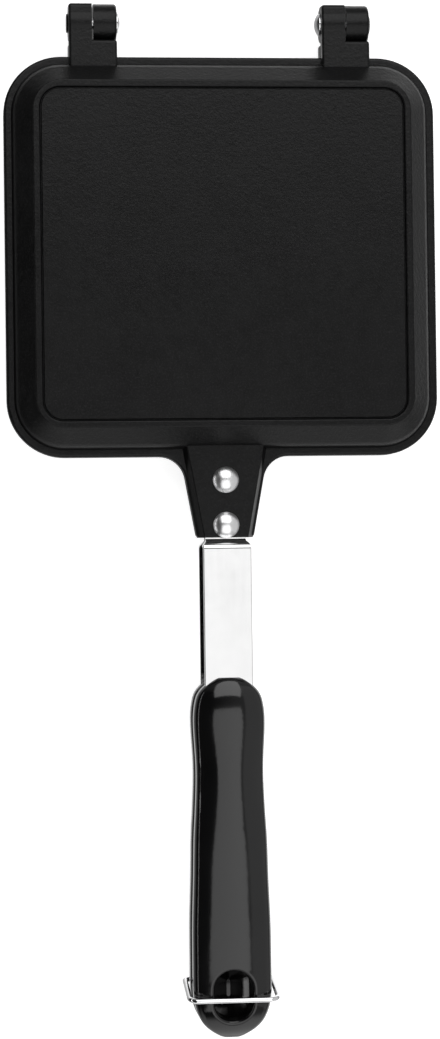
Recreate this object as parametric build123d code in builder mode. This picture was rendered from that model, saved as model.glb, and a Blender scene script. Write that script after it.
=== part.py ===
from build123d import *
import os
from math import sin, cos, tan, asin, atan2, radians, sqrt

os.makedirs("parts", exist_ok=True)

# ---------------------------------------------------------------- dimensions (mm)
# pan casting, heights measured outward from the parting plane
PLATE_W = 158.0          # rim flange across
PLATE_L = 146.0          # rim flange along
PLATE_R = 21.0           # rim corner radius
RIM_GAP = 0.2            # each rim stays this far from the parting plane
RIM_T = 3.0              # rim flange thickness
RIM_FIL = 1.1            # rounding of the rim's edges
BODY_IN = 3.7            # ridge, in from the rim's edge
WALL_DRAFT = 17.0        # slope of the body wall below the ridge, in degrees
RIDGE_H = 6.4            # height of the ridge where the sloped band starts
LIP_H = 14.6             # height of the lip ring, the pan's outermost face
BAND_W = 6.7             # horizontal width of the sloped band
LIP_W = 2.3              # width of the lip ring
PANEL_R = 7.5            # corner radius of the recessed panel
PANEL_D = 0.6            # depth of the recessed panel
GROOVE_W = 0.8           # fine groove round the panel's edge
GROOVE_D = 0.6           # its depth below the panel
GROOVE_SLOPE = 29.0      # slope of its flanks from upright, in degrees
RIDGE_FIL = 7.0          # rounding along the ridge
LIP_FIL = 0.6            # rounding along the lip
LIP_IN_FIL = 0.5         # rounding along its inner edge

# cooking side
CAV_W = 144.4            # cavity across at the rim
CAV_L = 132.4            # cavity along at the rim
CAV_R = 14.0
CAV_H = 10.8             # cavity floor above the parting plane
CAV_DRAFT = 24.0         # slope of the cavity wall in degrees
STUD_NX = 4              # studs across each of the two waffles
STUD_NY = 7
STUD_PX = 15.4           # stud pitch across
STUD_PY = 16.4           # stud pitch along
STUD_B = 11.2            # stud base width
STUD_H = 6.0             # stud height
STUD_DRAFT = 13.0
STUD_FIL = 0.7
RIB_W = 5.6              # base width of the rib between the two waffles
RIB_H = 9.6              # rib height
RIB_X = 33.1             # centre of each waffle's grid from the middle

# hinge
HINGE_X = 46.3           # centre of each hinge from the middle
LUG_W = 17.5             # width of one hinge
LUG_BASE = 5.8           # full-width part of a lug beyond the rim
PIN_OUT = 12.6           # pin axis beyond the rim
KN_R = 7.0               # knuckle radius
LUG_FAR = 6.3            # far face of a lug beyond the pin axis, at its outer side
LUG_FOOT = 5.2           # base part of a lug beyond the rim, at the parting plane
KN_GAP = 0.6             # gap between the two knuckles of a hinge
BOSS_D = 7.2
BOSS_H = 0.7
KN_CORNER = 1.6          # rounding of the lug's outer far edge
LUG_FIL = 1.0
LUG_EDGE = 1.3           # rounding of the base part's far upper edge
PIN_D = 4.0
PIN_RUN = 4.1            # running bore in the upper pan
PIN_HEAD_D = 8.2
PIN_HEAD_H = 1.9
PIN_END = 54.0           # far end of each pin from the middle
BORE_END = 54.2

# tang
TANG_L = 29.6            # length beyond the rim
TANG_HW = 10.45          # half width at its end
TANG_TAPER = 10.3        # degrees each side
TANG_Z = 3.1             # inner face of the tang
TANG_FIL = 9.5           # fillet between tang and rim
TANG_INSET = 0.35        # raised middle of the tang, inside the outline at its foot
TANG_FLANK = 26.0        # slope of its flanks in degrees
POCKET_W = 15.2          # pocket for the strap in the tang's inner face
POCKET_U = 1.6
RIVET_U1 = 8.7           # rivets, distance from the rim
RIVET_U2 = 25.1

# strap
STRAP_T = 2.0
STRAP_W = 17.5
NECK_W = 14.7
STRAP_U0 = 2.2           # start under the tang
STRAP_U1 = 31.1          # first bend of the step up from the tang
STRAP_U3 = 172.0         # end inside the grip
STRAP_RISE = 6.4         # offset between its two levels
STRAP_EDGE = 0.35        # rounding of its long outer edges
STRAP_STEEP = 76.0       # slope of the step in degrees
STRAP_BEND = 1.3         # bend radius at the middle of the thickness

# rivets
RIVET_HEAD_D = 9.5
RIVET_HEAD_H = 2.8
RIVET_D = 5.0
RIVET_TAIL_D = 7.4
RIVET_TAIL_H = 0.6

# grips
GRIP_Z0 = 1.4            # inner face from the parting plane
GRIP_Z1 = 14.4           # outer face
GRIP_U0 = 80.4           # nose
GRIP_TIP = 211.3         # rounded end
# grip sections: distance from the rim, half width, inner face, outer crown, level of the widest line,
# radius at the sides of the crown as a share of its height
GRIP_ST = [(GRIP_U0, 4.3, 5.6, 10.5, 8.2, 0.69), (81.0, 5.6, 4.4, 11.3, 8.1, 0.69), (82.2, 7.4, 3.1, 12.2, 8.0, 0.69), (83.8, 9.3, 2.1, 12.95, 8.0, 0.69),
           (86.0, 11.1, 1.55, 13.65, 7.9, 0.69), (89.0, 12.2, 1.4, 14.15, 7.9, 0.69), (93.0, 12.8, 1.4, 14.4, 7.9, 0.69), (98.0, 12.9, 1.4, 14.4, 7.9, 0.68),
           (104.0, 12.6, 1.4, 14.4, 7.9, 0.64), (112.0, 12.2, 1.4, 14.4, 7.9, 0.55), (120.0, 12.25, 1.4, 14.4, 7.9, 0.52), (130.0, 12.7, 1.4, 14.4, 7.9, 0.60),
           (146.0, 13.4, 1.4, 14.4, 7.9, 0.68), (164.0, 13.95, 1.4, 14.4, 7.9, 0.69),
           (180.0, 14.2, 1.4, 14.4, 7.9, 0.69), (190.0, 14.25, 1.4, 14.4, 7.9, 0.69), (195.5, 14.1, 1.4, 14.2, 7.8, 0.69), (199.0, 13.55, 1.4, 13.45, 7.5, 0.69),
           (202.5, 12.4, 1.4, 11.75, 6.9, 0.69), (205.5, 10.75, 1.45, 9.55, 5.9, 0.69), (208.0, 8.4, 1.5, 7.2, 4.6, 0.69), (210.0, 5.6, 1.6, 4.7, 3.2, 0.69),
           (GRIP_TIP, 2.6, 1.8, 2.9, 2.35, 0.69)]
GRIP_EDGE = 0.4          # radius of the inner edges, as a share of the depth below the widest line
HOLE_U = 195.0           # hanging hole centre
HOLE_W = 14.0
HOLE_L = 18.8
HOLE_FIL = 1.1
RECESS_D = 6.6           # blind recess in the lower grip, below the hole
RECESS_SLOPE = 46.0      # slope of its flanks from upright, in degrees
CHAN_W = 18.0            # channel for the strap, open on the inner face
CHAN_U0 = 85.0
CHAN_U1 = 175.0
SLOT_CLR = 0.1           # slot in the nose, clearance each side of the strap
SCREW_U1 = 98.0
SCREW_U2 = 160.0
SCREW_D = 3.5
SCREW_HEAD_D = 6.6
SCREW_HEAD_H = 2.0
SCREW_IN = 3.2           # depth of the screw in the grip

# bail
WIRE_D = 1.9
BAIL_X = 16.0            # leg centre from the middle
BAIL_PU = 191.5          # pivot, distance from the rim
BAIL_CU = 196.1          # crossbar, distance from the rim
BAIL_CZ = 15.45          # crossbar centre above the parting plane
BAIL_R = 3.6             # corner bend radius
BAIL_PR = 1.7            # bend radius at the pivots
BAIL_IN = 4.4            # length of wire inside the grip
PIVOT_D = 2.05           # pivot hole
PIVOT_DEPTH = 5.2

# ---------------------------------------------------------------- derived
ZP = LIP_H                                       # parting plane above the floor
REACH = PIN_OUT + KN_R
TOTAL = REACH + PLATE_L + GRIP_TIP
Y_TIP = -TOTAL / 2
Y_RIM = Y_TIP + GRIP_TIP                         # handle-side rim edge
PLATE_Y = Y_RIM + PLATE_L / 2
Y_TOP = Y_RIM + PLATE_L                          # hinge-side rim edge
Y_PIN = Y_TOP + PIN_OUT
STRAP_MID = TANG_Z - STRAP_T / 2                 # strap middle under the tang
STRAP_U2 = STRAP_U1 + STRAP_RISE / tan(radians(STRAP_STEEP))
STRAP_LEVEL = STRAP_MID + STRAP_RISE             # strap middle in the grip
STRAP_TOP = STRAP_LEVEL + STRAP_T / 2
GRIP_MID = (GRIP_Z0 + GRIP_Z1) / 2
BAND_TAPER = 39.25                               # degrees, gives BAND_W over the band's rise
KN_W = LUG_W / 2 - KN_GAP / 2
PANEL_W = PLATE_W - 2 * (BODY_IN + BAND_W + LIP_W)
PANEL_L = PLATE_L - 2 * (BODY_IN + BAND_W + LIP_W)
HEAD_X = HINGE_X - LUG_W / 2                     # inner face of each hinge

UP = Plane(origin=(0, 0, ZP), x_dir=(1, 0, 0), z_dir=(0, 0, 1))
DN = Plane(origin=(0, 0, ZP), x_dir=(-1, 0, 0), z_dir=(0, 0, -1))
# side planes: local x is +Y, local y points outward from the parting plane
SIDE_PLANE = Plane(origin=(0, 0, 0), x_dir=(0, 1, 0), z_dir=(1, 0, 0))

tang_slope = tan(radians(TANG_TAPER))


def dome_mid(r, h):
    # middle point of the arc of a spherical dome of base radius r and height h
    rs = (r * r + h * h) / (2 * h)
    t = asin(r / rs) / 2
    return rs * sin(t), h - rs + rs * cos(t)


def tang_half(u):
    # half width of the tang's outline at a distance u from the rim
    return TANG_HW + (TANG_L - u) * tang_slope


# ---------------------------------------------------------------- shared shapes
# Each is drawn once about the parting plane at height 0; the lower pieces are the
# same shapes turned over about the Y axis.

# one hinge lug: full-width base, one knuckle on its -X half
with BuildPart() as lug:
    with BuildSketch(SIDE_PLANE.offset(-LUG_W / 2)) as lug_sk:
        with BuildLine():
            Polyline((Y_TOP - 9.0, RIM_GAP), (Y_PIN, RIM_GAP), (Y_PIN, 0), (Y_PIN + KN_R, 0), (Y_PIN + LUG_FAR, RIDGE_H), (Y_TOP - 9.0, RIDGE_H), close=True)
        make_face()
        fillet(lug_sk.vertices().sort_by_distance((Y_PIN + LUG_FAR, RIDGE_H))[0], radius=KN_CORNER)
        with Locations((Y_PIN, 0)):
            Circle(KN_R)
    extrude(amount=KN_W)
    with BuildSketch(SIDE_PLANE.offset(-LUG_W / 2)) as base_sk:
        with BuildLine():
            Polyline((Y_TOP - 9.0, RIM_GAP), (Y_TOP + LUG_FOOT, RIM_GAP), (Y_TOP + LUG_BASE, RIDGE_H - 2.2), (Y_TOP + LUG_BASE, RIDGE_H),
                     (Y_TOP - 9.0, RIDGE_H), close=True)
        make_face()
        fillet(base_sk.vertices().sort_by_distance((Y_TOP + LUG_BASE, RIDGE_H))[0], radius=LUG_EDGE)
    extrude(amount=LUG_W)
    fillet([e for e in lug.edges() if e.bounding_box().min.Y > Y_TOP - 9.5 and e.center().Y > Y_TOP - 5
            and abs(abs(e.center().X) - LUG_W / 2) < 0.01], radius=LUG_FIL)

# body wall and sloped band, with the ridge between them rounded
with BuildPart() as body:
    with BuildSketch(Plane.XY.offset(RIDGE_H)):
        with Locations((0, PLATE_Y)):
            RectangleRounded(PLATE_W - 2 * BODY_IN, PLATE_L - 2 * BODY_IN, PLATE_R - BODY_IN)
    extrude(amount=-(RIDGE_H - RIM_GAP - 0.4), taper=-WALL_DRAFT)
    with BuildSketch(Plane.XY.offset(RIDGE_H)):
        with Locations((0, PLATE_Y)):
            RectangleRounded(PLATE_W - 2 * BODY_IN, PLATE_L - 2 * BODY_IN, PLATE_R - BODY_IN)
    extrude(amount=LIP_H - RIDGE_H, taper=BAND_TAPER)
    fillet(body.faces().sort_by(Axis.Z)[-1].edges(), radius=LIP_FIL)
    fillet([e for e in body.edges() if abs(e.bounding_box().min.Z - RIDGE_H) < 0.01 and abs(e.bounding_box().max.Z - RIDGE_H) < 0.01], radius=RIDGE_FIL)

# pan casting without its bores
with BuildPart() as casting:
    with BuildSketch(Plane.XY.offset(RIM_GAP)) as outline:
        with Locations((0, PLATE_Y)):
            RectangleRounded(PLATE_W, PLATE_L, PLATE_R)
        with BuildLine():
            Polyline((-tang_half(-6), Y_RIM + 6), (-TANG_HW, Y_RIM - TANG_L), (TANG_HW, Y_RIM - TANG_L), (tang_half(-6), Y_RIM + 6), close=True)
        make_face()
        fillet([v for v in outline.vertices() if abs(v.Y - Y_RIM) < 0.01 and abs(v.X) < 20], radius=TANG_FIL)
        fillet([v for v in outline.vertices() if abs(v.Y - (Y_RIM - TANG_L)) < 0.01], radius=1.6)
    extrude(amount=RIM_T)
    fillet(casting.faces().sort_by(Axis.Z)[0].edges() + casting.faces().sort_by(Axis.Z)[-1].edges(), radius=RIM_FIL)
    # raised middle of the tang, level with the ridge
    with BuildSketch(Plane.XY.offset(RIM_GAP + RIM_T - 1.2)):
        with BuildLine():
            Polyline((-tang_half(-7) + TANG_INSET, Y_RIM + 7), (-tang_half(TANG_L + 5) + TANG_INSET, Y_RIM - TANG_L - 5),
                     (tang_half(TANG_L + 5) - TANG_INSET, Y_RIM - TANG_L - 5), (tang_half(-7) - TANG_INSET, Y_RIM + 7), close=True)
        make_face()
    extrude(amount=RIDGE_H - RIM_GAP - RIM_T + 1.2, taper=TANG_FLANK)
    with BuildSketch(Plane.XY.offset(-1)):
        with Locations((0, Y_RIM - TANG_L - 10)):
            Rectangle(60, 20)
    extrude(amount=RIDGE_H + 2, mode=Mode.SUBTRACT)
    fillet([e for e in casting.edges() if abs(e.center().Z - RIDGE_H) < 0.01 and e.center().Y < Y_RIM], radius=0.6)
    # hinge lugs
    add(lug.part.moved(Location((-HINGE_X, 0, 0))))
    add(lug.part.moved(Location((HINGE_X, 0, 0))))
    with BuildSketch(SIDE_PLANE.offset(-HINGE_X - LUG_W / 2)):
        with Locations((Y_PIN, 0)):
            Circle(BOSS_D / 2)
    extrude(amount=-BOSS_H, taper=25)
    add(body.part)
    # recessed panel, its upper edge rounded, with a fine V groove round it
    with BuildSketch(Plane.XY.offset(LIP_H - PANEL_D)):
        with Locations((0, PLATE_Y)):
            RectangleRounded(PANEL_W, PANEL_L, PANEL_R)
    extrude(amount=PANEL_D + 1, mode=Mode.SUBTRACT)
    fillet([e for e in casting.edges() if abs(e.bounding_box().min.Z - LIP_H) < 0.01 and abs(e.bounding_box().max.Z - LIP_H) < 0.01
            and abs(e.center().X) < PANEL_W / 2 + 0.05 and abs(e.center().Y - PLATE_Y) < PANEL_L / 2 + 0.05], radius=LIP_IN_FIL)
    with BuildSketch(Plane.XY.offset(LIP_H - PANEL_D)):
        with Locations((0, PLATE_Y)):
            RectangleRounded(PANEL_W, PANEL_L, PANEL_R)
    extrude(amount=-GROOVE_D, taper=GROOVE_SLOPE, mode=Mode.SUBTRACT)
    with BuildSketch(Plane.XY.offset(LIP_H - PANEL_D)):
        with Locations((0, PLATE_Y)):
            RectangleRounded(PANEL_W - 2 * GROOVE_W, PANEL_L - 2 * GROOVE_W, PANEL_R - GROOVE_W)
    extrude(amount=-GROOVE_D - 0.05, taper=-GROOVE_SLOPE)
    # cooking cavity
    with BuildSketch(Plane.XY.offset(RIM_GAP)):
        with Locations((0, PLATE_Y)):
            RectangleRounded(CAV_W, CAV_L, CAV_R)
    extrude(amount=CAV_H - RIM_GAP, taper=CAV_DRAFT, mode=Mode.SUBTRACT)
    # studs, and the rib between the two waffles
    with BuildSketch(Plane.XY.offset(CAV_H + 0.5)):
        for cx in (-RIB_X, RIB_X):
            with Locations((cx, PLATE_Y)):
                with GridLocations(STUD_PX, STUD_PY, STUD_NX, STUD_NY):
                    RectangleRounded(STUD_B, STUD_B, 1.6)
    extrude(amount=-(STUD_H + 0.5), taper=STUD_DRAFT)
    with BuildSketch(Plane.XY.offset(CAV_H + 0.5)):
        with Locations((0, PLATE_Y)):
            Rectangle(RIB_W, CAV_L - 2 * CAV_H * tan(radians(CAV_DRAFT)) + 4.0)
    extrude(amount=-(RIB_H + 0.5), taper=9)
    # pocket for the strap
    with BuildSketch(Plane.XY.offset(-1)):
        with Locations((0, Y_RIM - POCKET_U - (TANG_L + 2) / 2)):
            Rectangle(POCKET_W, TANG_L + 2)
    extrude(amount=TANG_Z + 1, mode=Mode.SUBTRACT)

# strap: side profile cut to its plan
with BuildPart() as strap:
    with BuildSketch(SIDE_PLANE.offset(-STRAP_W / 2)) as strap_sk:
        with BuildLine():
            half = STRAP_T / 2
            slope = STRAP_RISE / (STRAP_U2 - STRAP_U1)
            off = half * (sqrt(1 + slope * slope) - 1) / slope
            Polyline((Y_RIM - STRAP_U0, STRAP_MID - half), (Y_RIM - STRAP_U1 - off, STRAP_MID - half),
                     (Y_RIM - STRAP_U2 - off, STRAP_LEVEL - half), (Y_RIM - STRAP_U3, STRAP_LEVEL - half),
                     (Y_RIM - STRAP_U3, STRAP_LEVEL + half), (Y_RIM - STRAP_U2 + off, STRAP_LEVEL + half),
                     (Y_RIM - STRAP_U1 + off, STRAP_MID + half), (Y_RIM - STRAP_U0, STRAP_MID + half), close=True)
        make_face()
        # inner side of each bend, then its outer side
        fillet(strap_sk.vertices().sort_by_distance((Y_RIM - STRAP_U1 + off, STRAP_MID + half))[0], radius=STRAP_BEND - half)
        fillet(strap_sk.vertices().sort_by_distance((Y_RIM - STRAP_U2 - off, STRAP_LEVEL - half))[0], radius=STRAP_BEND - half)
        fillet(strap_sk.vertices().sort_by_distance((Y_RIM - STRAP_U1 - off, STRAP_MID - half))[0], radius=STRAP_BEND + half)
        fillet(strap_sk.vertices().sort_by_distance((Y_RIM - STRAP_U2 + off, STRAP_LEVEL + half))[0], radius=STRAP_BEND + half)
    extrude(amount=STRAP_W)
    with BuildSketch(Plane.XY.offset(-1)) as strap_plan:
        with BuildLine():
            Polyline((-NECK_W / 2, Y_RIM - STRAP_U0), (-NECK_W / 2, Y_RIM - TANG_L - 1.2), (-STRAP_W / 2, Y_RIM - TANG_L - 3.0),
                     (-STRAP_W / 2, Y_RIM - STRAP_U3), (STRAP_W / 2, Y_RIM - STRAP_U3), (STRAP_W / 2, Y_RIM - TANG_L - 3.0),
                     (NECK_W / 2, Y_RIM - TANG_L - 1.2), (NECK_W / 2, Y_RIM - STRAP_U0), close=True)
        make_face()
        fillet([v for v in strap_plan.vertices() if v.Y > Y_RIM - 5 or v.Y < Y_RIM - 150], radius=3.0)
        with Locations((0, Y_RIM - RIVET_U1), (0, Y_RIM - RIVET_U2)):
            Circle(RIVET_D / 2, mode=Mode.SUBTRACT)
        with Locations((0, Y_RIM - SCREW_U1), (0, Y_RIM - SCREW_U2)):
            Circle(SCREW_D / 2, mode=Mode.SUBTRACT)
    extrude(amount=20, mode=Mode.INTERSECT)
    fillet([e for e in strap.edges() if abs(e.center().Z - STRAP_TOP) < 0.01 and e.bounding_box().size.Y > 100], radius=STRAP_EDGE)

# rivet at the origin of the plan, domed head outward
with BuildPart() as rivet:
    with BuildSketch(Plane.XY.offset(TANG_Z - STRAP_T - RIVET_TAIL_H)):
        Circle(RIVET_TAIL_D / 2)
    extrude(amount=RIVET_TAIL_H, taper=0)
    fillet(rivet.faces().sort_by(Axis.Z)[0].edges(), radius=0.4)
    with BuildSketch(Plane.XY.offset(TANG_Z - STRAP_T)):
        Circle(RIVET_D / 2)
    extrude(amount=RIDGE_H - TANG_Z + STRAP_T)
    with BuildSketch(Plane.XZ) as dome:
        with BuildLine():
            Line((0, RIDGE_H), (RIVET_HEAD_D / 2, RIDGE_H))
            Line((RIVET_HEAD_D / 2, RIDGE_H), (RIVET_HEAD_D / 2, RIDGE_H + 0.5))
            mx, mh = dome_mid(RIVET_HEAD_D / 2, RIVET_HEAD_H - 0.5)
            ThreePointArc((RIVET_HEAD_D / 2, RIDGE_H + 0.5), (mx, RIDGE_H + 0.5 + mh), (0, RIDGE_H + RIVET_HEAD_H))
            Line((0, RIDGE_H + RIVET_HEAD_H), (0, RIDGE_H))
        make_face()
    revolve(axis=Axis.Z)

def grip_section(w, lo, hi, mid, share):
    # closed outline: oval crown from the widest line up, flat inner side with rounded corners
    b = hi - mid
    side = share * b
    crown = (w * w + b * b - 2 * w * side) / (2 * (b - side))
    k = crown / (crown - side)
    tx, tz = (w - side) * k, hi - crown + (mid - hi + crown) * k
    turn = atan2(tz - mid, tx - w + side) / 2
    sx, sz = w - side + side * cos(turn), mid + side * sin(turn)
    r = GRIP_EDGE * (mid - lo)
    q = r * (1 - sqrt(0.5))
    ThreePointArc((w, mid), (sx, sz), (tx, tz))
    ThreePointArc((tx, tz), (0, hi), (-tx, tz))
    ThreePointArc((-tx, tz), (-sx, sz), (-w, mid))
    Line((-w, mid), (-w, lo + r))
    ThreePointArc((-w, lo + r), (-w + q, lo + q), (-w + r, lo))
    Line((-w + r, lo), (w - r, lo))
    ThreePointArc((w - r, lo), (w - q, lo + q), (w, lo + r))
    Line((w, lo + r), (w, mid))


# grip: sections along Y, with strap slot, channel and screw holes
with BuildPart() as grip:
    for u, w, lo, hi, mid, share in GRIP_ST:
        with BuildSketch(Plane(origin=(0, Y_RIM - u, 0), x_dir=(1, 0, 0), z_dir=(0, -1, 0))):
            with BuildLine():
                grip_section(w, lo, hi, mid, share)
            make_face()
    loft()
    # channel and nose slot
    with BuildSketch(Plane.XY):
        with Locations((0, Y_RIM - (CHAN_U0 + CHAN_U1) / 2)):
            RectangleRounded(CHAN_W, CHAN_U1 - CHAN_U0, 3.2)
    extrude(amount=STRAP_TOP, mode=Mode.SUBTRACT)
    with BuildSketch(Plane.XY.offset(STRAP_TOP - STRAP_T - 2 * SLOT_CLR)):
        with Locations((0, Y_RIM - (CHAN_U0 + 5) / 2 - 40)):
            Rectangle(STRAP_W + 2 * SLOT_CLR, CHAN_U0 + 5 - 80)
    extrude(amount=STRAP_T + 2 * SLOT_CLR, mode=Mode.SUBTRACT)
    with BuildSketch(Plane.XY):
        with Locations((0, Y_RIM - SCREW_U1), (0, Y_RIM - SCREW_U2)):
            Circle(SCREW_D / 2)
    extrude(amount=STRAP_TOP + SCREW_IN + 0.4, mode=Mode.SUBTRACT)

# pan-head screw at the origin of the plan, head toward the parting plane
with BuildPart() as screw:
    with BuildSketch(Plane.XY.offset(STRAP_TOP - STRAP_T - SCREW_HEAD_H)):
        Circle(SCREW_HEAD_D / 2)
    extrude(amount=SCREW_HEAD_H)
    fillet(screw.faces().sort_by(Axis.Z)[0].edges(), radius=0.9)
    with BuildSketch(Plane.XY.offset(STRAP_TOP - STRAP_T)):
        Circle(SCREW_D / 2)
    extrude(amount=STRAP_T + SCREW_IN)
    with BuildSketch(Plane.XY.offset(STRAP_TOP - STRAP_T - SCREW_HEAD_H)):
        Rectangle(3.6, 0.8)
        Rectangle(0.8, 3.6)
    extrude(amount=1.1, mode=Mode.SUBTRACT)

# hinge pin along X from the head's seat, pointing to -X
with BuildPart() as pin:
    with BuildSketch(SIDE_PLANE):
        Circle(PIN_D / 2)
    extrude(amount=-(PIN_END - HEAD_X))
    with BuildSketch(Plane.XY) as pin_head:
        with BuildLine():
            Line((0, 0), (0, PIN_HEAD_D / 2))
            Line((0, PIN_HEAD_D / 2), (0.4, PIN_HEAD_D / 2))
            mx, mh = dome_mid(PIN_HEAD_D / 2, PIN_HEAD_H - 0.4)
            ThreePointArc((0.4, PIN_HEAD_D / 2), (0.4 + mh, mx), (PIN_HEAD_H, 0))
            Line((PIN_HEAD_H, 0), (0, 0))
        make_face()
    revolve(axis=Axis.X)


# ---------------------------------------------------------------- pieces
TURN = DN.location
LIFT = UP.location

with BuildPart() as upper_pan:
    add(casting.part.moved(LIFT))
    with BuildSketch(Plane(origin=(-HINGE_X + 2, Y_PIN, ZP), x_dir=(0, 1, 0), z_dir=(-1, 0, 0))):
        Circle(PIN_RUN / 2)
    extrude(amount=BORE_END - HINGE_X + 2, mode=Mode.SUBTRACT)
    with BuildSketch(Plane(origin=(HINGE_X + 2, Y_PIN, ZP), x_dir=(0, 1, 0), z_dir=(-1, 0, 0))):
        Circle(PIN_RUN / 2)
    extrude(amount=LUG_W, mode=Mode.SUBTRACT)
    with BuildSketch(Plane.XY.offset(ZP)):
        with Locations((0, Y_RIM - RIVET_U1), (0, Y_RIM - RIVET_U2)):
            Circle(RIVET_D / 2)
    extrude(amount=RIDGE_H + 5, mode=Mode.SUBTRACT)
upper_pan.part.label = "upper_pan"
export_step(upper_pan.part, "parts/upper_pan.step")

with BuildPart() as lower_pan:
    add(casting.part.moved(TURN))
    with BuildSketch(Plane(origin=(HINGE_X - 2, Y_PIN, ZP), x_dir=(0, 1, 0), z_dir=(1, 0, 0))):
        Circle(PIN_D / 2)
    extrude(amount=BORE_END - HINGE_X + 2, mode=Mode.SUBTRACT)
    with BuildSketch(Plane(origin=(-HINGE_X - 2, Y_PIN, ZP), x_dir=(0, 1, 0), z_dir=(1, 0, 0))):
        Circle(PIN_D / 2)
    extrude(amount=LUG_W, mode=Mode.SUBTRACT)
    with BuildSketch(Plane.XY.offset(ZP)):
        with Locations((0, Y_RIM - RIVET_U1), (0, Y_RIM - RIVET_U2)):
            Circle(RIVET_D / 2)
    extrude(amount=-RIDGE_H - 5, mode=Mode.SUBTRACT)
lower_pan.part.label = "lower_pan"
export_step(lower_pan.part, "parts/lower_pan.step")

with BuildPart() as left_hinge_pin:
    add(pin.part.moved(Location((-HEAD_X, Y_PIN, ZP))))
left_hinge_pin.part.label = "left_hinge_pin"
export_step(left_hinge_pin.part, "parts/left_hinge_pin.step")

with BuildPart() as right_hinge_pin:
    add(pin.part.moved(Location((HEAD_X - 0.2, Y_PIN, ZP), (0, 0, 180))))
right_hinge_pin.part.label = "right_hinge_pin"
export_step(right_hinge_pin.part, "parts/right_hinge_pin.step")

with BuildPart() as upper_strap:
    add(strap.part.moved(LIFT))
upper_strap.part.label = "upper_strap"
export_step(upper_strap.part, "parts/upper_strap.step")

with BuildPart() as lower_strap:
    add(strap.part.moved(TURN))
lower_strap.part.label = "lower_strap"
export_step(lower_strap.part, "parts/lower_strap.step")

with BuildPart() as upper_rivet_front:
    add(rivet.part.moved(Location((0, Y_RIM - RIVET_U1, ZP))))
upper_rivet_front.part.label = "upper_rivet_front"
export_step(upper_rivet_front.part, "parts/upper_rivet_front.step")

with BuildPart() as upper_rivet_rear:
    add(rivet.part.moved(Location((0, Y_RIM - RIVET_U2, ZP))))
upper_rivet_rear.part.label = "upper_rivet_rear"
export_step(upper_rivet_rear.part, "parts/upper_rivet_rear.step")

with BuildPart() as lower_rivet_front:
    add(rivet.part.moved(Location((0, Y_RIM - RIVET_U1, ZP), (0, 180, 0))))
lower_rivet_front.part.label = "lower_rivet_front"
export_step(lower_rivet_front.part, "parts/lower_rivet_front.step")

with BuildPart() as lower_rivet_rear:
    add(rivet.part.moved(Location((0, Y_RIM - RIVET_U2, ZP), (0, 180, 0))))
lower_rivet_rear.part.label = "lower_rivet_rear"
export_step(lower_rivet_rear.part, "parts/lower_rivet_rear.step")

with BuildPart() as upper_grip:
    add(grip.part.moved(LIFT))
    # hanging hole
    with BuildSketch(Plane.XY.offset(ZP)):
        with Locations((0, Y_RIM - HOLE_U)):
            SlotOverall(HOLE_L, HOLE_W, rotation=90)
    extrude(amount=20, mode=Mode.SUBTRACT)
    fillet([e for e in upper_grip.edges() if abs(e.center().X) < HOLE_W / 2 + 0.1 and abs(e.center().Y - (Y_RIM - HOLE_U)) < HOLE_L / 2 + 0.1
            and e.bounding_box().size.Z < 5 and abs(e.center().Z - ZP - 8) > 2], radius=HOLE_FIL)
upper_grip.part.label = "upper_grip"
export_step(upper_grip.part, "parts/upper_grip.step")

with BuildPart() as lower_grip:
    add(grip.part.moved(TURN))
    # blind recess facing the hanging hole
    with BuildSketch(Plane.XY.offset(ZP - GRIP_Z0 + 0.5)):
        with Locations((0, Y_RIM - HOLE_U)):
            SlotOverall(HOLE_L + 1.0, HOLE_W + 1.0, rotation=90)
    extrude(amount=-RECESS_D, taper=RECESS_SLOPE, mode=Mode.SUBTRACT)
    for sx in (-1, 1):
        with BuildSketch(Plane(origin=(sx * 20, Y_RIM - BAIL_PU, ZP - GRIP_MID), x_dir=(0, 1, 0), z_dir=(-sx, 0, 0))):
            Circle(PIVOT_D / 2)
        extrude(amount=20 - 14.25 + PIVOT_DEPTH, mode=Mode.SUBTRACT)
lower_grip.part.label = "lower_grip"
export_step(lower_grip.part, "parts/lower_grip.step")

with BuildPart() as upper_grip_screw_front:
    add(screw.part.moved(Location((0, Y_RIM - SCREW_U1, ZP))))
upper_grip_screw_front.part.label = "upper_grip_screw_front"
export_step(upper_grip_screw_front.part, "parts/upper_grip_screw_front.step")

with BuildPart() as upper_grip_screw_rear:
    add(screw.part.moved(Location((0, Y_RIM - SCREW_U2, ZP))))
upper_grip_screw_rear.part.label = "upper_grip_screw_rear"
export_step(upper_grip_screw_rear.part, "parts/upper_grip_screw_rear.step")

with BuildPart() as lower_grip_screw_front:
    add(screw.part.moved(Location((0, Y_RIM - SCREW_U1, ZP), (0, 180, 0))))
lower_grip_screw_front.part.label = "lower_grip_screw_front"
export_step(lower_grip_screw_front.part, "parts/lower_grip_screw_front.step")

with BuildPart() as lower_grip_screw_rear:
    add(screw.part.moved(Location((0, Y_RIM - SCREW_U2, ZP), (0, 180, 0))))
lower_grip_screw_rear.part.label = "lower_grip_screw_rear"
export_step(lower_grip_screw_rear.part, "parts/lower_grip_screw_rear.step")

# bail: one bent wire, both ends turned into the lower grip
with BuildPart() as latch_bail:
    py, cy = Y_RIM - BAIL_PU, Y_RIM - BAIL_CU
    pz, cz = ZP - GRIP_MID, ZP + BAIL_CZ
    end_x = 14.25 - BAIL_IN
    with BuildLine() as wire_path:
        FilletPolyline((-end_x, py, pz), (-BAIL_X, py, pz), (-BAIL_X, cy, cz), (0, cy, cz), radius=[BAIL_PR, BAIL_R])
    with BuildSketch(Plane(origin=(-end_x, py, pz), z_dir=(-1, 0, 0))):
        Circle(WIRE_D / 2)
    sweep()
    mirror(about=Plane.YZ)
latch_bail.part.label = "latch_bail"
export_step(latch_bail.part, "parts/latch_bail.step")
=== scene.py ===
import math
import bmesh
import bpy
import numpy as np
from mathutils import Matrix, Vector

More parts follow.
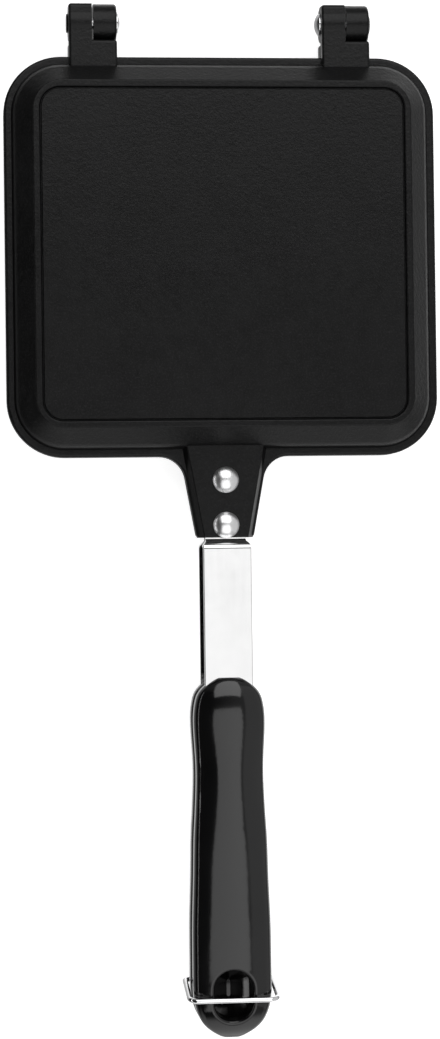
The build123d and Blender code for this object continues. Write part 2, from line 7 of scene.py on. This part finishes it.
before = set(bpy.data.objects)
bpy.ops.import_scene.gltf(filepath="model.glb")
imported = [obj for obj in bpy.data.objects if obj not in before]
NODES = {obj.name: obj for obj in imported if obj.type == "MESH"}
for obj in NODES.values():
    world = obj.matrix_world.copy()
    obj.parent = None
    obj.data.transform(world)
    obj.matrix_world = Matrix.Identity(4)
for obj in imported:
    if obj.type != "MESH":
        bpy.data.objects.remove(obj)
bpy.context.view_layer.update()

# ------------------------------------------------------------------ camera
# The image is 440 x 1039; the lens is set on its long side.
CAM_AT = Vector((-0.102397, -0.01556, 1.026595))
back = Vector((-math.tan(math.radians(5.686)), -math.tan(math.radians(0.873)), 1.0)).normalized()
right = Vector((0.0, 1.0, 0.0)).cross(back).normalized()
upward = back.cross(right).normalized()
roll = math.radians(-0.735)
axis_x = math.cos(roll) * right + math.sin(roll) * upward
axis_y = -math.sin(roll) * right + math.cos(roll) * upward
cam_data = bpy.data.cameras.new("camera")
cam_data.sensor_fit = "AUTO"
cam_data.sensor_width = 36.0
cam_data.lens = 2781.34 * 36.0 / 1039.0
cam_data.clip_start = 0.01
cam_data.clip_end = 50.0
cam = bpy.data.objects.new("camera", cam_data)
bpy.context.scene.collection.objects.link(cam)
cam.matrix_world = Matrix((
    (axis_x.x, axis_y.x, back.x, CAM_AT.x),
    (axis_x.y, axis_y.y, back.y, CAM_AT.y),
    (axis_x.z, axis_y.z, back.z, CAM_AT.z),
    (0.0, 0.0, 0.0, 1.0),
))
bpy.context.scene.camera = cam
bpy.context.scene.view_settings.view_transform = "Standard"
bpy.context.scene.view_settings.look = "None"


# ------------------------------------------------------------------ material helpers
class Mat:
    """A node material with short helpers."""

    def __init__(self, name):
        self.m = bpy.data.materials.new(name)
        self.m.use_nodes = True
        self.t = self.m.node_tree
        self.t.nodes.clear()
        self.out = self.t.nodes.new("ShaderNodeOutputMaterial")
        self.bsdf = self.t.nodes.new("ShaderNodeBsdfPrincipled")
        self.t.links.new(self.bsdf.outputs[0], self.out.inputs[0])
        self.coord = self.t.nodes.new("ShaderNodeTexCoord").outputs["Object"]

    def link(self, a, b):
        self.t.links.new(a, b)

    def put(self, socket, value):
        if isinstance(value, (int, float)):
            socket.default_value = value
        elif isinstance(value, (tuple, list)):
            socket.default_value = value
        else:
            self.t.links.new(value, socket)

    def noise(self, scale, detail=3.0, rough=0.5, stretch=None, distortion=0.0):
        n = self.t.nodes.new("ShaderNodeTexNoise")
        n.inputs["Scale"].default_value = scale
        n.inputs["Detail"].default_value = detail
        n.inputs["Roughness"].default_value = rough
        n.inputs["Distortion"].default_value = distortion
        source = self.coord
        if stretch:
            mapping = self.t.nodes.new("ShaderNodeMapping")
            mapping.inputs["Scale"].default_value = stretch
            self.link(self.coord, mapping.inputs["Vector"])
            source = mapping.outputs[0]
        self.link(source, n.inputs["Vector"])
        return n.outputs["Fac"]

    def voronoi(self, scale, feature="F1"):
        n = self.t.nodes.new("ShaderNodeTexVoronoi")
        n.feature = feature
        n.inputs["Scale"].default_value = scale
        self.link(self.coord, n.inputs["Vector"])
        return n.outputs["Distance"]

    def math(self, op, a, b=0.0, c=0.0, clamp=False):
        n = self.t.nodes.new("ShaderNodeMath")
        n.operation = op
        n.use_clamp = clamp
        self.put(n.inputs[0], a)
        self.put(n.inputs[1], b)
        self.put(n.inputs[2], c)
        return n.outputs[0]

    def ramp(self, fac, lo, hi, out_lo=0.0, out_hi=1.0, smooth=True):
        n = self.t.nodes.new("ShaderNodeMapRange")
        n.interpolation_type = "SMOOTHSTEP" if smooth else "LINEAR"
        n.clamp = True
        self.put(n.inputs["Value"], fac)
        n.inputs["From Min"].default_value = lo
        n.inputs["From Max"].default_value = hi
        n.inputs["To Min"].default_value = out_lo
        n.inputs["To Max"].default_value = out_hi
        return n.outputs[0]

    def mix(self, fac, a, b):
        n = self.t.nodes.new("ShaderNodeMix")
        n.data_type = "RGBA"
        self.put(n.inputs[0], fac)
        self.put(n.inputs[6], a)
        self.put(n.inputs[7], b)
        return n.outputs[2]

    def bump(self, height, strength, distance, under=None):
        n = self.t.nodes.new("ShaderNodeBump")
        n.inputs["Strength"].default_value = strength
        n.inputs["Distance"].default_value = distance
        self.link(height, n.inputs["Height"])
        if under is not None:
            self.link(under, n.inputs["Normal"])
        return n.outputs[0]

    def edge(self):
        """Bright on outside edges, from the geometry's pointiness."""
        return self.t.nodes.new("ShaderNodeNewGeometry").outputs["Pointiness"]

    def set(self, **kw):
        for key, value in kw.items():
            self.put(self.bsdf.inputs[key.replace("_", " ")], value)


def rgb(v, g=None, b=None):
    return (v, v if g is None else g, v if b is None else b, 1.0)


def coating(name, shift=0.0):
    """Semi-matt non-stick coating on die-cast aluminium: near black, with a fine pebbled grain and cloudy patches."""
    m = Mat(name)
    cloud = m.noise(38.0 + shift, 3.0, 0.55)
    blotch = m.noise(210.0 + shift, 3.0, 0.6)
    grain = m.noise(1500.0, 2.0, 0.6)
    pebble = m.noise(620.0, 2.0, 0.5)
    tone = m.math("ADD", m.ramp(cloud, 0.3, 0.7, 0.0, 0.6), m.ramp(blotch, 0.35, 0.65, 0.0, 0.4))
    base = m.mix(tone, rgb(0.0024, 0.0024, 0.0025), rgb(0.0040, 0.0040, 0.0042))
    speck = m.ramp(grain, 0.50, 0.68, 0.0, 0.50)
    base = m.mix(speck, base, rgb(0.0150, 0.0150, 0.0154))
    rough = m.math("ADD", m.ramp(cloud, 0.3, 0.7, 0.29, 0.315), m.ramp(blotch, 0.35, 0.65, -0.012, 0.015))
    n1 = m.bump(pebble, 0.45, 0.00016)
    n2 = m.bump(grain, 0.60, 0.00010, n1)
    m.set(Base_Color=base, Roughness=rough, Normal=n2)
    m.bsdf.inputs["IOR"].default_value = 1.30
    m.bsdf.inputs["Specular IOR Level"].default_value = 0.5
    return m.m


def bright_steel(name, tint, rough_lo, rough_hi, brushed=None, scratch=0.25):
    """Polished metal with fine drawn lines and faint smudges."""
    m = Mat(name)
    smudge = m.noise(60.0, 4.0, 0.6)
    lines = m.noise(900.0, 3.0, 0.6, stretch=brushed or (1.0, 0.06, 1.0))
    rough = m.math("ADD", m.ramp(smudge, 0.35, 0.7, rough_lo, rough_hi), m.ramp(lines, 0.3, 0.7, -0.015, 0.02))
    tone = m.ramp(smudge, 0.3, 0.75)
    base = m.mix(tone, rgb(*tint), rgb(*[c * 0.95 for c in tint]))
    n1 = m.bump(lines, scratch, 0.00001)
    m.set(Base_Color=base, Metallic=1.0, Roughness=rough, Normal=n1)
    return m.m


def gloss_black(name):
    """High-gloss moulded phenolic: deep black, slight orange peel, a few fine rub marks."""
    m = Mat(name)
    cloud = m.noise(30.0, 3.0, 0.5)
    peel = m.noise(260.0, 2.0, 0.5)
    rub = m.noise(700.0, 4.0, 0.65, stretch=(1.0, 0.12, 1.0))
    base = m.mix(m.ramp(cloud, 0.3, 0.7), rgb(0.0035, 0.0035, 0.0037), rgb(0.0052, 0.0052, 0.0054))
    rough = m.math("ADD", m.ramp(cloud, 0.3, 0.75, 0.11, 0.14), m.ramp(rub, 0.58, 0.78, 0.0, 0.05))
    n1 = m.bump(peel, 0.10, 0.00008)
    m.set(Base_Color=base, Roughness=rough, Normal=n1)
    m.bsdf.inputs["IOR"].default_value = 1.58
    return m.m


def assign(obj, mat):
    obj.data.materials.clear()
    obj.data.materials.append(mat)


pan_up = coating("coating_upper")
pan_low = coating("coating_lower", 3.0)
steel = bright_steel("strap_steel", (0.735, 0.735, 0.735), 0.055, 0.085, scratch=0.10)
rivet_m = bright_steel("rivet_metal", (0.95, 0.95, 0.955), 0.29, 0.35, brushed=(1.0, 1.0, 1.0))
pin_m = bright_steel("pin_steel", (0.86, 0.86, 0.87), 0.16, 0.24, brushed=(1.0, 1.0, 1.0))
screw_m = bright_steel("screw_zinc", (0.66, 0.67, 0.69), 0.24, 0.34, brushed=(1.0, 1.0, 1.0))
wire_m = bright_steel("bail_steel", (0.93, 0.93, 0.94), 0.10, 0.15, brushed=(1.0, 1.0, 1.0))
grip_m = gloss_black("grip_phenolic")

for name, mat in {
    "upper_pan": pan_up, "lower_pan": pan_low,
    "upper_strap": steel, "lower_strap": steel,
    "upper_rivet_front": rivet_m, "upper_rivet_rear": rivet_m,
    "lower_rivet_front": rivet_m, "lower_rivet_rear": rivet_m,
    "left_hinge_pin": pin_m, "right_hinge_pin": pin_m,
    "upper_grip": grip_m, "lower_grip": grip_m,
    "upper_grip_screw_front": screw_m, "upper_grip_screw_rear": screw_m,
    "lower_grip_screw_front": screw_m, "lower_grip_screw_rear": screw_m,
    "latch_bail": wire_m,
}.items():
    assign(NODES[name], mat)


# ------------------------------------------------------------------ floor and light
def floor_material():
    m = Mat("studio_floor")
    t = m.t
    m.bsdf.inputs["Roughness"].default_value = 0.9
    m.set(Base_Color=m.mix(m.noise(3.0), rgb(0.80), rgb(0.82)))
    m.bsdf.inputs["Specular IOR Level"].default_value = 0.1
    m.bsdf.inputs["Emission Color"].default_value = (1, 1, 1, 1)
    m.bsdf.inputs["Emission Strength"].default_value = 0.75
    return m.m


mesh = bpy.data.meshes.new("floor")
bm = bmesh.new()
bmesh.ops.create_grid(bm, x_segments=8, y_segments=8, size=8.0)
bm.to_mesh(mesh)
bm.free()
floor = bpy.data.objects.new("floor", mesh)
bpy.context.scene.collection.objects.link(floor)
floor.location = (0, 0, -0.0002)
assign(floor, floor_material())
floor.visible_glossy = False
floor.visible_diffuse = False


def softbox(name, along_x, along_y, distance, size_x, size_y, radiance):
    """A rectangular soft light seen from the object's middle at these angles from overhead (degrees), facing it.
    size_x is its level side and size_y its side along the arc; radiance is what a mirror would show."""
    ax, ay = math.radians(along_x), math.radians(along_y)
    direction = Vector((math.sin(ax) * math.cos(ay), math.sin(ay), math.cos(ax) * math.cos(ay)))
    data = bpy.data.lights.new(name, "AREA")
    data.shape = "RECTANGLE"
    data.size = size_x
    data.size_y = size_y
    data.energy = radiance * math.pi * size_x * size_y
    obj = bpy.data.objects.new(name, data)
    bpy.context.scene.collection.objects.link(obj)
    obj.location = direction * distance
    obj.rotation_euler = (-direction).to_track_quat("-Z", "Y").to_euler()
    obj.visible_camera = False
    return obj


softbox("overhead_far", 1.0, 42.5, 1.1, 1.20, 1.05, 1.8)
softbox("overhead_near", 1.0, -30.5, 1.1, 1.20, 1.344, 1.15)
softbox("side_right", 64.0, 0.0, 1.1, 2.20, 1.32, 0.30)
softbox("rim_left", -80.0, 0.0, 1.1, 1.60, 0.10, 2.6)

# surroundings by direction: dark on the left, pale on the right and low down
world = bpy.data.worlds.new("studio")
bpy.context.scene.world = world
world.use_nodes = True
wt = world.node_tree
wt.nodes.clear()
w_out = wt.nodes.new("ShaderNodeOutputWorld")
w_bg = wt.nodes.new("ShaderNodeBackground")
w_co = wt.nodes.new("ShaderNodeTexCoord")
w_sep = wt.nodes.new("ShaderNodeSeparateXYZ")
wt.links.new(w_co.outputs["Generated"], w_sep.inputs[0])


def w_ramp(value, lo, hi, out_lo, out_hi):
    n = wt.nodes.new("ShaderNodeMapRange")
    n.interpolation_type = "SMOOTHSTEP"
    n.inputs["From Min"].default_value = lo
    n.inputs["From Max"].default_value = hi
    n.inputs["To Min"].default_value = out_lo
    n.inputs["To Max"].default_value = out_hi
    wt.links.new(value, n.inputs["Value"])
    return n.outputs[0]


def w_math(op, a, b):
    n = wt.nodes.new("ShaderNodeMath")
    n.operation = op
    wt.links.new(a, n.inputs[0])
    wt.links.new(b, n.inputs[1])
    return n.outputs[0]


def w_sum(*terms):
    total = terms[0]
    for term in terms[1:]:
        total = w_math("ADD", total, term)
    return total


w_x, w_y, w_z = w_sep.outputs["X"], w_sep.outputs["Y"], w_sep.outputs["Z"]
low = w_ramp(w_z, 0.08, 0.32, 1.0, 0.0)
level = w_sum(w_ramp(w_x, -0.5, 0.6, 0.01, 0.24), w_ramp(w_y, 0.50, 0.95, 0.0, 0.16),
              w_math("MULTIPLY", w_ramp(w_y, -0.95, -0.50, 0.75, 0.0), low))
below = w_sum(w_ramp(w_x, -0.6, 0.7, 0.34, 1.25), w_ramp(w_y, 0.30, 0.90, 0.0, 0.60), w_ramp(w_y, -0.90, -0.30, 0.35, 0.0))
down = w_ramp(w_z, -0.65, -0.30, 1.0, 0.0)
up = w_ramp(w_z, -0.65, -0.30, 0.0, 1.0)
wt.links.new(w_sum(w_math("MULTIPLY", below, down), w_math("MULTIPLY", level, up)), w_bg.inputs["Strength"])
w_bg.inputs["Color"].default_value = (1, 1, 1, 1)
wt.links.new(w_bg.outputs[0], w_out.inputs[0])
